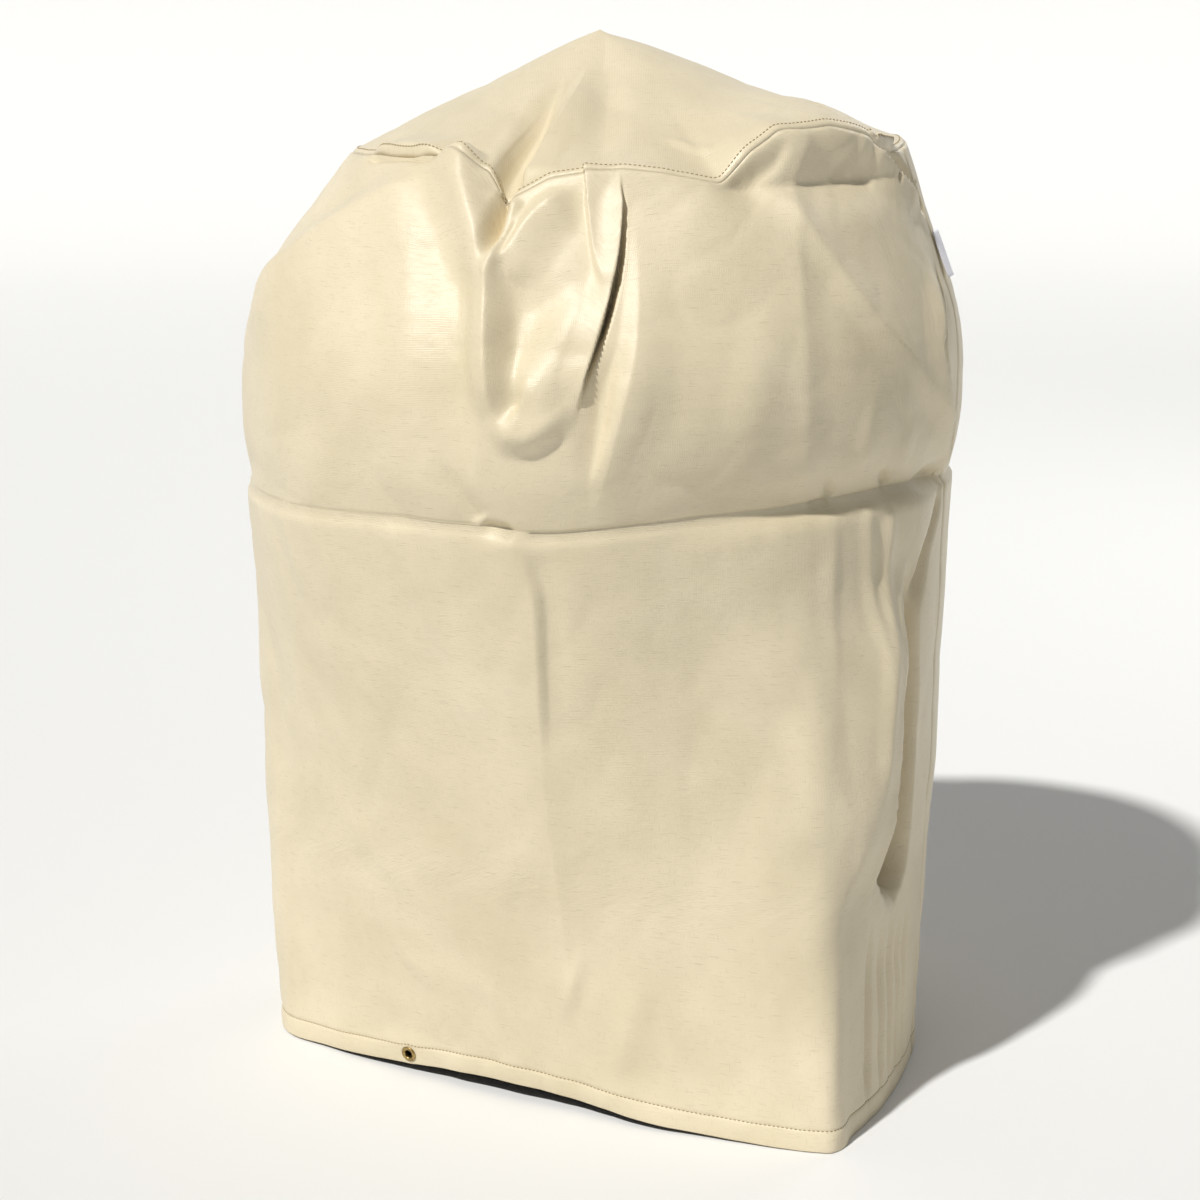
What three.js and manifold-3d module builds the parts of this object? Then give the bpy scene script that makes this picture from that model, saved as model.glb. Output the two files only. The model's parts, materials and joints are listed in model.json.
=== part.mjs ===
// A drop-over cover for a round kettle grill on three legs, standing in the shape it is worn in.
// Millimetres, +Z up, and -Y is the front. The shape is drawn round the vertical axis through its peak.
// The cloth is one surface, cut into a top panel and two wall panels that meet at sewn seams.
import * as THREE from 'three';
import { mergeVertices } from 'three/addons/utils/BufferGeometryUtils.js';
import Module from 'manifold-3d';

// Driving dimensions
const PEAK_HEIGHT = 1070;
const PANEL = 1.5; // thickness of one layer of cloth
const HEM_DEPTH = 25; // height of the turned-up hem, where the cloth is double
const HEM_STEP = 2; // height over which the hem thins to one layer
const HEM_ROWS = 2; // mesh rows that bound the double cloth, the edge and the stitching
const GAP = 0.3; // clearance between pieces that are sewn or pressed together
const TAPE_WIDTH = 24; // binding tape inside each seam
const TAPE = 1;
const TAPE_LEAD = 2; // from the top seam to its tape's edge
const FRONT_HEM_LIFT = 16; // how far the front hem hangs clear of the ground at its highest
const LIFT_MIDDLE = -118; // azimuth of that highest point, and half the angle that the arch spans
const LIFT_ANGLE = 68;
const RIGHT_SEAM = -15; // azimuths of the two side seams, degrees
const LEFT_SEAM = 165;
const AZIMUTH_STEP = 6;
const TAPE_ANGLE = 2; // half the angle that a side seam's tape spans at the widest ring
const NARROWEST_STEP = 1; // a regular column stays this far from a tape's edge

const GROMMET_AZIMUTHS = { front_left: -147, back_right: 33 };
const GROMMET_HEIGHT = 12; // centre above the hem's edge
const GROMMET_HOLE = 4.4; // radii of the throat, the barrel, the two flared mouths and the flange
const GROMMET_BARREL = 5;
const GROMMET_MOUTH = 5.7;
const GROMMET_LIP = 7;
const GROMMET_FLANGE = 8.5;
const GROMMET_SIDES = 24;
const GROMMET_CLEARANCE = 0.5; // between the metal and the cloth
const GROMMET_BEVEL = 0.6; // on the flange's rim
const FLANGE_CROWN = 1.6; // height of the flange above the cloth
const LIP_THICKNESS = 0.9;
const LIP_BEVEL = 0.2;
const WASHER_THICKNESS = 0.8;
const CUTTER_LENGTH = 20; // longer than the cloth is thick, so that it cuts a hole right through

const LABEL_WIDTH = 20;
const LABEL_THICKNESS = 0.8;
const LABEL_BOTTOM = 830; // heights of the sewn edge's ends
const LABEL_TOP = 875;
const LABEL_STANDOFF = 1.2; // from the cloth to the sewn edge
const LABEL_REST = 84; // angle back from the wall's normal, degrees

// Plan outlines, each a closed curve through [azimuth in degrees, distance from the axis]. Azimuth 0 is
// +X and -90 is the front. The hem wraps three legs, so it has a corner at each: the front right one is
// sharp, and the cloth between it and the left one is drawn almost straight.
const HEM_OUTLINE = [
  [-178, 352], [-170, 314], [-163, 285], [-147, 236], [-130, 218], [-118, 213], [-98, 223], [-84, 260],
  [-70, 306], [-60, 361], [-54, 389], [-48, 379], [-38, 361], [-20, 346], [5, 346], [35, 364],
  [66, 385], [95, 338], [125, 312], [155, 332],
];
const CREASE_OUTLINE = [
  [-180, 366], [-150, 360], [-122, 342], [-98, 343], [-72, 326], [-45, 338], [-20, 360], [10, 370],
  [90, 366], [150, 368],
];
const BELLY_OUTLINE = [[-180, 368], [-120, 362], [-90, 358], [-60, 356], [-15, 373], [90, 370], [150, 370]];
const SHOULDER_OUTLINE = [[-180, 358], [-120, 352], [-90, 350], [-60, 352], [-15, 367], [90, 356]];
const NECK_OUTLINE = [[-180, 303], [-120, 306], [-90, 308], [-60, 322], [-15, 333], [60, 320], [120, 308]];
const RIM_OUTLINE = [[-180, 252], [-130, 262], [-90, 280], [-50, 300], [-10, 308], [50, 296], [120, 266]];

// The wall's rings from the hem to the top seam, and the rows that the mesh has between them
const CREASE_HEIGHT = 620; // the wall is straight below this ring and rounded above it
const RINGS = [
  { height: CREASE_HEIGHT, outline: CREASE_OUTLINE },
  { height: 720, outline: BELLY_OUTLINE },
  { height: 800, outline: SHOULDER_OUTLINE },
  { height: 888, outline: NECK_OUTLINE },
  { height: 948, outline: RIM_OUTLINE },
];
const SKIRT_ROWS = 4; // between the hem and the crease ring
const ROWS_PER_RING = 2;
const LABEL_ROW_BELOW_RIM = 6; // the label's seam faces the way the wall does here, below the rim
const RIM_RISE = 16; // how much higher the top seam runs at the right than at the left
const CROWN_ROWS = [0.8, 0.55, 0.3, 0.12]; // rows of the top panel, as shares of the rim's radius

const radians = THREE.MathUtils.degToRad;

// Radius of a closed outline at an azimuth, by a cubic through its points
function outlineRadius(outline, azimuth) {
  const count = outline.length;
  const start = outline[0][0];
  const angle = start + THREE.MathUtils.euclideanModulo(azimuth - start, 360);
  const point = (index) => {
    const turns = Math.floor(index / count);
    const [at, radius] = outline[index - turns * count];
    return [at + 360 * turns, radius];
  };
  let i = 0;
  while (point(i + 1)[0] <= angle) i += 1;
  const [[a0, r0], [a1, r1], [a2, r2], [a3, r3]] = [i - 1, i, i + 1, i + 2].map(point);
  const width = a2 - a1;
  const t = (angle - a1) / width;
  const slope1 = ((r2 - r0) / (a2 - a0)) * width;
  const slope2 = ((r3 - r1) / (a3 - a1)) * width;
  return (
    r1 * (2 * t ** 3 - 3 * t ** 2 + 1) + slope1 * (t ** 3 - 2 * t ** 2 + t)
    + r2 * (3 * t ** 2 - 2 * t ** 3) + slope2 * (t ** 3 - t ** 2)
  );
}

// Height of the hem's edge: on the ground, apart from a low arch along the front
function hemHeight(azimuth) {
  const fromMiddle = THREE.MathUtils.euclideanModulo(azimuth - LIFT_MIDDLE + 180, 360) - 180;
  const share = Math.min(1, Math.abs(fromMiddle) / LIFT_ANGLE);
  return FRONT_HEM_LIFT * Math.cos((share * Math.PI) / 2) ** 2;
}

function rimHeight(azimuth) {
  return RINGS.at(-1).height + (RIM_RISE / 2) * (1 + Math.cos(radians(azimuth)));
}

function onRing(azimuth, radius, height) {
  return new THREE.Vector3(
    radius * Math.cos(radians(azimuth)), radius * Math.sin(radians(azimuth)), height,
  );
}

// The points of one meridian, from the hem to the row below the peak, with the index of its rim
function meridian(azimuth) {
  const points = [];
  const hemRadius = outlineRadius(HEM_OUTLINE, azimuth);
  const creaseRadius = outlineRadius(CREASE_OUTLINE, azimuth);
  const edge = hemHeight(azimuth);
  const skirt = (height) => {
    const share = (height - edge) / (CREASE_HEIGHT - edge);
    points.push(onRing(azimuth, hemRadius + share * (creaseRadius - hemRadius), height));
  };
  skirt(edge);
  skirt(edge + HEM_DEPTH);
  skirt(edge + HEM_DEPTH + HEM_STEP);
  for (let row = 1; row <= SKIRT_ROWS; row += 1) {
    skirt(edge + HEM_DEPTH + ((CREASE_HEIGHT - edge - HEM_DEPTH) * row) / (SKIRT_ROWS + 1));
  }
  const rings = RINGS.map(({ height, outline }) => onRing(azimuth, outlineRadius(outline, azimuth), height));
  rings.at(-1).z = rimHeight(azimuth);
  const shoulder = new THREE.CatmullRomCurve3(rings, false, 'centripetal');
  points.push(...shoulder.getPoints((RINGS.length - 1) * ROWS_PER_RING));
  const rimPoint = points.pop();
  const lastRow = points.at(-1);
  const down = lastRow.clone().sub(rimPoint);
  for (const distance of [TAPE_LEAD + TAPE_WIDTH, TAPE_LEAD]) {
    points.push(rimPoint.clone().addScaledVector(down, distance / down.length()));
  }
  points.push(rimPoint);
  const rim = points.length - 1;
  const rise = PEAK_HEIGHT - rimPoint.z;
  for (const share of CROWN_ROWS) {
    points.push(new THREE.Vector3(rimPoint.x * share, rimPoint.y * share, PEAK_HEIGHT - rise * share));
  }
  return { points, rim };
}

// The azimuths of the mesh's columns, from the right seam round the back: a regular step, with a column
// at each seam and at the edges of its tape
function columnAzimuths() {
  const azimuths = [];
  for (const seam of [RIGHT_SEAM, LEFT_SEAM]) {
    azimuths.push(seam, seam + TAPE_ANGLE);
    const first = Math.ceil((seam + TAPE_ANGLE + NARROWEST_STEP) / AZIMUTH_STEP) * AZIMUTH_STEP;
    const end = seam + 180 - TAPE_ANGLE - NARROWEST_STEP;
    for (let azimuth = first; azimuth < end; azimuth += AZIMUTH_STEP) {
      azimuths.push(azimuth);
    }
    azimuths.push(seam + 180 - TAPE_ANGLE);
  }
  return azimuths;
}

const azimuths = columnAzimuths();
const columns = azimuths.map(meridian);
const RIM_ROW = columns[0].rim;
const LAST_ROW = columns[0].points.length - 1;
const COLUMNS = columns.length;
const LEFT_COLUMN = azimuths.indexOf(LEFT_SEAM);
const peak = new THREE.Vector3(0, 0, PEAK_HEIGHT);
const at = (column, row) => columns[(column + COLUMNS) % COLUMNS].points[row];

// Outward normal of the cloth at a mesh point, from its neighbours
function normalAt(column, row) {
  const across = at(column + 1, row).clone().sub(at(column - 1, row));
  const below = at(column, Math.max(row - 1, 0));
  const above = row < LAST_ROW ? at(column, row + 1) : peak;
  const here = at(column, row);
  const rising = row > 0
    ? here.clone().sub(below).normalize().add(above.clone().sub(here).normalize())
    : above.clone().sub(here);
  return across.cross(rising).normalize();
}

// The point under a mesh point, a depth below the cloth's outer face. The two shifts slide it along
// the cloth towards the next column and the next row, in mm.
function under(column, row, depth, acrossShift = 0, upShift = 0) {
  const here = at(column, row);
  const point = here.clone().addScaledVector(normalAt(column, row), -depth);
  if (acrossShift !== 0) {
    const next = at(column + Math.sign(acrossShift), row).clone().sub(here).normalize();
    point.addScaledVector(next, Math.abs(acrossShift));
  }
  if (upShift !== 0) {
    const next = at(column, row + Math.sign(upShift)).clone().sub(here).normalize();
    point.addScaledVector(next, Math.abs(upShift));
  }
  return point;
}

function geometryFrom(vertices, triangles) {
  const geometry = new THREE.BufferGeometry();
  geometry.setAttribute('position', new THREE.Float32BufferAttribute(vertices.flatMap((v) => v.toArray()), 3));
  geometry.setIndex(triangles.flat());
  return geometry;
}

// A closed solid between two grids of points, outer[row][column] and inner[row][column], which rise
// with the row and turn with the column. A ring has no end faces, and a pole closes the top row.
function solidBetween(outer, inner, { ring = false, outerPole = null, innerPole = null } = {}) {
  const rows = outer.length;
  const width = outer[0].length;
  const vertices = [...outer.flat(), ...inner.flat()];
  const innerStart = rows * width;
  const index = (row, column) => row * width + (column % width);
  const triangles = [];
  const quad = (a, b, c, d) => triangles.push([a, b, c], [a, c, d]);
  const cells = ring ? width : width - 1;
  for (let column = 0; column < cells; column += 1) {
    for (let row = 0; row < rows - 1; row += 1) {
      const corners = [
        index(row, column), index(row, column + 1), index(row + 1, column + 1), index(row + 1, column),
      ];
      quad(...corners);
      const [a, b, c, d] = corners.map((corner) => corner + innerStart);
      quad(a, d, c, b);
    }
    const [low, lowNext] = [index(0, column), index(0, column + 1)];
    quad(low, low + innerStart, lowNext + innerStart, lowNext);
    const [high, highNext] = [index(rows - 1, column), index(rows - 1, column + 1)];
    if (outerPole) {
      triangles.push([high, highNext, vertices.length]);
      triangles.push([highNext + innerStart, high + innerStart, vertices.length + 1]);
    } else {
      quad(high, highNext, highNext + innerStart, high + innerStart);
    }
  }
  if (outerPole) vertices.push(outerPole, innerPole);
  for (let row = 0; row < rows - 1 && !ring; row += 1) {
    const [start, startUp] = [index(row, 0), index(row + 1, 0)];
    quad(start, startUp, startUp + innerStart, start + innerStart);
    const [end, endUp] = [index(row, width - 1), index(row + 1, width - 1)];
    quad(end, end + innerStart, endUp + innerStart, endUp);
  }
  return geometryFrom(vertices, triangles);
}

const wasm = await Module();
wasm.setup();

function toSolid(geometry) {
  const bare = geometry.clone();
  bare.deleteAttribute('normal');
  bare.deleteAttribute('uv');
  const merged = mergeVertices(bare);
  return new wasm.Manifold(new wasm.Mesh({
    numProp: 3,
    vertProperties: new Float32Array(merged.attributes.position.array),
    triVerts: new Uint32Array(merged.index.array),
  }));
}

function fromSolid(solid) {
  const { vertProperties, triVerts } = solid.getMesh();
  const geometry = new THREE.BufferGeometry();
  geometry.setAttribute('position', new THREE.Float32BufferAttribute(vertProperties, 3));
  geometry.setIndex([...triVerts]);
  return geometry;
}

// Where a grommet sits: on the middle of the hem's flat between two columns
function grommetPlace(azimuth) {
  const left = azimuths.findIndex((a) => THREE.MathUtils.euclideanModulo(azimuth - a, 360) <= AZIMUTH_STEP);
  const corners = [at(left, 0), at(left + 1, 0), at(left, 1), at(left + 1, 1)];
  const [low, lowNext, high, highNext] = corners;
  const across = lowNext.clone().sub(low).add(highNext).sub(high).normalize();
  const up = high.clone().sub(low).add(highNext).sub(lowNext).normalize();
  const normal = across.clone().cross(up).normalize();
  const edge = low.clone().add(lowNext).divideScalar(2);
  return { position: edge.addScaledVector(up, GROMMET_HEIGHT), normal };
}

function placeAlong(geometry, { position, normal }) {
  const turn = new THREE.Quaternion().setFromUnitVectors(new THREE.Vector3(0, 1, 0), normal);
  return geometry.applyQuaternion(turn).translate(position.x, position.y, position.z);
}

// A ring turned about the grommet's axis, from a closed outline of [radius, distance outward]
function turned(outline) {
  const points = [...outline, outline[0]].map(([radius, out]) => new THREE.Vector2(radius, out));
  return new THREE.LatheGeometry(points, GROMMET_SIDES);
}

// Levels along the grommet's axis, measured outward from the hem's outer face
const HEM_INSIDE = -2 * PANEL;
const THROAT_TOP = HEM_INSIDE / 4;
const WASHER_TOP = HEM_INSIDE - GROMMET_CLEARANCE;
const WASHER_BOTTOM = WASHER_TOP - WASHER_THICKNESS;
const LIP_TOP = WASHER_BOTTOM - GAP;
const LIP_BOTTOM = LIP_TOP - LIP_THICKNESS;

// The grommet's flange outside, its barrel through the hem and the lip rolled over its washer
function grommetGeometry() {
  return turned([
    [GROMMET_HOLE, WASHER_BOTTOM],
    [GROMMET_MOUTH, LIP_BOTTOM],
    [GROMMET_LIP, LIP_BOTTOM + LIP_BEVEL],
    [GROMMET_LIP, LIP_TOP],
    [GROMMET_BARREL, LIP_TOP],
    [GROMMET_BARREL, GROMMET_CLEARANCE],
    [GROMMET_FLANGE, GROMMET_CLEARANCE],
    [GROMMET_FLANGE - GROMMET_BEVEL, FLANGE_CROWN],
    [GROMMET_MOUTH, FLANGE_CROWN],
    [GROMMET_HOLE, THROAT_TOP],
  ]);
}

function washerGeometry() {
  const inner = GROMMET_BARREL + GAP;
  const outer = GROMMET_FLANGE - GAP;
  return turned([[inner, WASHER_BOTTOM], [outer, WASHER_BOTTOM], [outer, WASHER_TOP], [inner, WASHER_TOP]]);
}

// A wall panel from one side seam to the other, doubled below the hem's stitching, with its grommet hole
function wallGeometry(firstColumn, lastColumn, grommetAzimuth) {
  const outer = [];
  const inner = [];
  for (let row = 0; row <= RIM_ROW; row += 1) {
    const depth = row < HEM_ROWS ? 2 * PANEL : PANEL;
    const upShift = row === RIM_ROW ? -GAP / 2 : 0;
    const line = (below) => {
      const points = [];
      for (let column = firstColumn; column <= lastColumn; column += 1) {
        let acrossShift = 0;
        if (column === firstColumn) acrossShift = GAP / 2;
        if (column === lastColumn) acrossShift = -GAP / 2;
        points.push(under(column, row, below, acrossShift, upShift));
      }
      return points;
    };
    outer.push(line(0));
    inner.push(line(depth));
  }
  // The inner face of the hem's lower edge is level with its outer face, so that the hem stands flat
  inner[0].forEach((point, column) => { point.z = outer[0][column].z; });
  const holeRadius = GROMMET_BARREL + GAP;
  const hole = new THREE.CylinderGeometry(holeRadius, holeRadius, CUTTER_LENGTH, GROMMET_SIDES);
  const cutter = placeAlong(hole, grommetPlace(grommetAzimuth));
  return fromSolid(toSolid(solidBetween(outer, inner)).subtract(toSolid(cutter)));
}

function topPanelGeometry() {
  const outer = [];
  const inner = [];
  for (let row = RIM_ROW; row <= LAST_ROW; row += 1) {
    const upShift = row === RIM_ROW ? GAP / 2 : 0;
    outer.push(azimuths.map((_, column) => under(column, row, 0, 0, upShift)));
    inner.push(azimuths.map((_, column) => under(column, row, PANEL, 0, upShift)));
  }
  const innerPeak = peak.clone().setZ(PEAK_HEIGHT - PANEL);
  return solidBetween(outer, inner, { ring: true, outerPole: peak, innerPole: innerPeak });
}

// The point where a meridian passes a height, a depth below the cloth
function onMeridian(column, height, depth) {
  let row = 0;
  while (at(column, row + 1).z < height) row += 1;
  const share = (height - at(column, row).z) / (at(column, row + 1).z - at(column, row).z);
  return under(column, row, depth).lerp(under(column, row + 1, depth), share);
}

// Tape over the top seam's allowance, on the wall side of the seam
function topTapeGeometry() {
  const line = (row, depth) => azimuths.map((_, column) => under(column, row, depth));
  const rows = [RIM_ROW - 2, RIM_ROW - 1];
  const outer = rows.map((row) => line(row, PANEL + GAP));
  const inner = rows.map((row) => line(row, PANEL + GAP + TAPE));
  return solidBetween(outer, inner, { ring: true });
}

// Tape over a side seam's allowance, from above the hem to below the top seam's tape
function sideTapeGeometry(seamColumn) {
  const rows = [];
  for (let row = HEM_ROWS + 1; row < RIM_ROW - 2; row += 1) rows.push(row);
  const line = (row, depth) => [-1, 0, 1].map((side) => under(seamColumn + side, row, depth));
  const outer = rows.map((row) => line(row, PANEL + GAP));
  const inner = rows.map((row) => line(row, PANEL + GAP + TAPE));
  return solidBetween(outer, inner);
}

// The care label, sewn into the right side seam by one edge and folded back along the wall
function labelGeometry() {
  const normal = normalAt(0, RIM_ROW - LABEL_ROW_BELOW_RIM);
  const low = onMeridian(0, LABEL_BOTTOM, 0).addScaledVector(normal, LABEL_STANDOFF);
  const high = onMeridian(0, LABEL_TOP, 0).addScaledVector(normal, LABEL_STANDOFF);
  const up = high.clone().sub(low);
  const back = up.clone().cross(normal).normalize();
  const out = back.clone().cross(up).normalize();
  const swing = radians(LABEL_REST);
  const along = out.clone().multiplyScalar(Math.cos(swing)).addScaledVector(back, Math.sin(swing));
  const face = along.clone().cross(up).normalize();
  const geometry = new THREE.BoxGeometry(LABEL_WIDTH, up.length(), LABEL_THICKNESS);
  const basis = new THREE.Matrix4().makeBasis(along, up.clone().normalize(), face);
  const centre = low.clone().addScaledVector(up, 0.5).addScaledVector(along, LABEL_WIDTH / 2);
  return geometry.applyMatrix4(basis.setPosition(centre));
}

const cloth = { color: 0xe6d8b4, roughness: 0.85, metalness: 0 };
const tape = { color: 0xd8cba6, roughness: 0.9, metalness: 0 };
const brass = { color: 0xa8935f, roughness: 0.35, metalness: 1 };
const satin = { color: 0xf2f0f6, roughness: 0.6, metalness: 0 };

const group = new THREE.Group();

function addPiece(name, geometry, finish) {
  const mesh = new THREE.Mesh(geometry, new THREE.MeshStandardMaterial(finish));
  mesh.name = name;
  group.add(mesh);
}

addPiece('top_panel', topPanelGeometry(), cloth);
addPiece('back_wall', wallGeometry(0, LEFT_COLUMN, GROMMET_AZIMUTHS.back_right), cloth);
addPiece('front_wall', wallGeometry(LEFT_COLUMN, COLUMNS, GROMMET_AZIMUTHS.front_left), cloth);
addPiece('top_seam_tape', topTapeGeometry(), tape);
addPiece('right_seam_tape', sideTapeGeometry(0), tape);
addPiece('left_seam_tape', sideTapeGeometry(LEFT_COLUMN), tape);
for (const [place, azimuth] of Object.entries(GROMMET_AZIMUTHS)) {
  addPiece(`grommet_${place}`, placeAlong(grommetGeometry(), grommetPlace(azimuth)), brass);
  addPiece(`washer_${place}`, placeAlong(washerGeometry(), grommetPlace(azimuth)), brass);
}
addPiece('care_label', labelGeometry(), satin);

// The origin is on the ground under the middle of the whole cover
const middle = new THREE.Box3().setFromObject(group).getCenter(new THREE.Vector3());
group.position.set(-middle.x, -middle.y, 0);

export default group;
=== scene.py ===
"""The looks of a kettle grill cover: one cloth surface, cut into a top panel and two walls, with its
folds, seams, hem, thread, tapes, grommets and label. Metres throughout. The frame gives every place:
the cloth's rest surface is read off the CAD walls, and the folds are laid on it."""
import json
import math

import bpy
import numpy as np
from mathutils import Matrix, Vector, noise
from mathutils.bvhtree import BVHTree


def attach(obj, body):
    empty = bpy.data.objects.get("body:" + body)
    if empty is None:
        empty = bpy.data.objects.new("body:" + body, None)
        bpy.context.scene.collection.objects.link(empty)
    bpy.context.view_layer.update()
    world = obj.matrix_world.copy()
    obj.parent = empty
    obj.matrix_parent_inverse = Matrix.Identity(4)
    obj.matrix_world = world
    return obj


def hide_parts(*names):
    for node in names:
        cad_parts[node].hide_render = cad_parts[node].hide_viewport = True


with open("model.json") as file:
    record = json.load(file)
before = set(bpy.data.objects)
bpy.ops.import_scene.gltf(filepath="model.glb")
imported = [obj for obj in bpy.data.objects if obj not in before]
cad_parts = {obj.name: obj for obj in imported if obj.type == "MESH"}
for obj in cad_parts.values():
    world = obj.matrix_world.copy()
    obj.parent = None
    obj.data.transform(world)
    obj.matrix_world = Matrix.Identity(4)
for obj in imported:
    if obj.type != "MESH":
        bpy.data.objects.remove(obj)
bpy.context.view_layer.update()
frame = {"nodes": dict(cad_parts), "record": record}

MM = 0.001

# ---- Driving sizes ----
CLOTH = 1.2 * MM  # thickness of the coated cloth as it is drawn
LAYER_GAP = 0.4 * MM  # air between the hem's two layers
HEM_STITCH = 22 * MM  # height of the hem's stitching above its edge
HEM_TURN_UP = 25 * MM  # height of the layer turned up inside
CREASE_ROW = 0.62  # height of the CAD wall's own break between skirt and shoulder
RIGHT_SEAM = -15.0  # azimuths of the side seams, degrees, with -90 at the front
LEFT_SEAM = -195.0
SEAM_TUCK = 1.5 * MM  # how far the cloth dips at a sewn seam
SEAM_HALF = 4 * MM  # half the width of that dip

# Azimuth bands and how many mesh columns each takes: the front's gathers take the most
COLUMN_BANDS = [
    (-195, -150, 32), (-150, -114, 44), (-114, -96, 50), (-96, -82, 58), (-82, -50, 42), (-50, -15, 74),
    (-15, 0, 12), (0, 165, 112),
]
SKIRT_ROWS = 54
SHOULDER_ROWS = 84
CROWN_ROWS = 64

# ---- The rest surface, read off the CAD nodes by rays towards the axis through the peak ----
PEAK = max((v.co.copy() for v in frame["nodes"]["top_panel"].data.vertices), key=lambda co: co.z)
AXIS = np.array([PEAK.x, PEAK.y])
FAR = 0.7  # rays start outside the cover
RADIUS_STEP = 6.0  # degrees between the CAD walls' own columns
HEIGHT_STEP = 0.02
TOP_SAMPLE = 0.94
SKIRT_LOW = 0.04  # the heights between which the skirt is straight
SKIRT_HIGH = 0.60


def unit(vectors):
    """The same vectors with a length of 1."""
    return vectors / np.maximum(np.linalg.norm(vectors, axis=-1, keepdims=True), 1e-12)


def travel(line):
    """How far each point of a line is from the line's start, along it."""
    return np.concatenate([[0], np.cumsum(np.linalg.norm(np.diff(line, axis=0), axis=1))])


def turn_between(azimuth, other):
    """Degrees from one azimuth to another, the short way round."""
    return np.mod(np.asarray(azimuth, float) - other + 180, 360) - 180


def node_tree(names):
    """One ray-casting tree of several CAD nodes."""
    vertices = []
    faces = []
    for name in names:
        mesh = frame["nodes"][name].data
        start = len(vertices)
        vertices += [v.co.copy() for v in mesh.vertices]
        faces += [[start + i for i in polygon.vertices] for polygon in mesh.polygons]
    return BVHTree.FromPolygons(vertices, faces)


def cast_radius(tree, azimuth, height):
    """Distance of the CAD wall from the axis, in one direction."""
    out = Vector((math.cos(math.radians(azimuth)), math.sin(math.radians(azimuth)), 0))
    start = Vector((AXIS[0], AXIS[1], height)) + out * FAR
    hit = tree.ray_cast(start, -out)
    return FAR - hit[3]


def radius_table():
    """Radii of the wall by height and azimuth. The skirt is straight from the hem to the crease."""
    tree = node_tree(["front_wall", "back_wall"])
    azimuths = np.arange(0, 360, RADIUS_STEP)
    heights = np.arange(0, TOP_SAMPLE + HEIGHT_STEP / 2, HEIGHT_STEP)
    table = np.zeros((len(heights), len(azimuths)))
    for j, azimuth in enumerate(azimuths):
        at_low = cast_radius(tree, azimuth, SKIRT_LOW)
        at_high = cast_radius(tree, azimuth, SKIRT_HIGH)
        for i, height in enumerate(heights):
            if height < CREASE_ROW - HEIGHT_STEP / 2:
                share = (height - SKIRT_LOW) / (SKIRT_HIGH - SKIRT_LOW)
                table[i, j] = at_low + (at_high - at_low) * share
            else:
                table[i, j] = cast_radius(tree, azimuth, height)
    shoulder = int(round(CREASE_ROW / HEIGHT_STEP))
    for _ in range(2):
        inner = table[shoulder:].copy()
        table[shoulder + 1:-1] = (inner[:-2] + 2 * inner[1:-1] + inner[2:]) / 4
    slope = table[-1] - table[-2]
    extra = np.array([table[-1] + slope * k for k in (1, 2, 3)])
    return np.vstack([table, extra])


RADII = radius_table()


def smooth(t):
    t = np.clip(t, 0, 1)
    return t * t * (3 - 2 * t)


def cubic_weights(t):
    """Catmull-Rom weights of the four points round a fraction t."""
    return (
        (-t + 2 * t**2 - t**3) / 2,
        (2 - 5 * t**2 + 3 * t**3) / 2,
        (t + 4 * t**2 - 3 * t**3) / 2,
        (-(t**2) + t**3) / 2,
    )


def wall_radius(azimuth, height):
    """Distance of the cloth from the axis, smooth in both directions."""
    azimuth, height = np.broadcast_arrays(np.asarray(azimuth, float), np.asarray(height, float))
    a = np.mod(azimuth, 360) / RADIUS_STEP
    h = np.clip(height / HEIGHT_STEP, 0, len(RADII) - 1.001)
    i, j = np.floor(h).astype(int), np.floor(a).astype(int)
    s, t = h - i, a - j
    total = np.zeros(azimuth.shape)
    for k, weight in enumerate(cubic_weights(t)):
        column = (j + k - 1) % RADII.shape[1]
        total += weight * (RADII[i, column] * (1 - s) + RADII[i + 1, column] * s)
    return total


def curve_through(points, blur):
    """A periodic height curve through [azimuth, height] points, rounded over blur degrees."""
    azimuth, height = np.array(points, float).T
    grid = np.arange(-360, 360, 0.25)
    values = np.interp(grid, azimuth, height, period=360)
    reach = int(blur / 0.25)
    kernel = np.hanning(2 * reach + 3)[1:-1]
    values = np.convolve(np.pad(values, reach, mode="wrap"), kernel / kernel.sum(), mode="valid")
    return lambda a: np.interp(np.mod(np.asarray(a, float), 360) - 360, grid, values)


# Height of the top seam: it dips in a notch where the front is gathered, and rises to the right
RIM_POINTS = [
    (-195, .948), (-170, .951), (-149, .954), (-133, .956), (-124, .958), (-121, .957), (-118, .952),
    (-112, .947), (-109.5, .937), (-106.5, .922), (-103.8, .9285), (-99.3, .941), (-92.8, .9455),
    (-86, .95), (-78, .947), (-68.5, .938), (-62, .962), (-56, .978), (-45, .978), (-39, .971),
    (-31, .959), (-20, .957), (-5, .962), (30, .962), (90, .954), (140, .948),
]
rim_height = curve_through(RIM_POINTS, 1.2)
even_rim_height = curve_through(RIM_POINTS, 40)
# Height of the crease where the cover was folded for packing
crease_height = curve_through([
    (-195, .618), (-153, .618), (-139, .6215), (-123, .626), (-111, .625), (-106, .623), (-100, .62),
    (-95, .621), (-88, .6255), (-74, .6305), (-64, .632), (-50, .633), (-35, .635), (-14, .629),
    (40, .626), (110, .622),
], 3)
HEM_LIFT = 16 * MM  # the front hem hangs clear of the ground in a low arch
LIFT_MIDDLE = -118.0
LIFT_HALF = 68.0


def hem_height(azimuth):
    """Height of the wall's lower edge."""
    share = np.minimum(1, np.abs(turn_between(azimuth, LIFT_MIDDLE)) / LIFT_HALF)
    return HEM_LIFT * np.cos(share * math.pi / 2) ** 2


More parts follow.
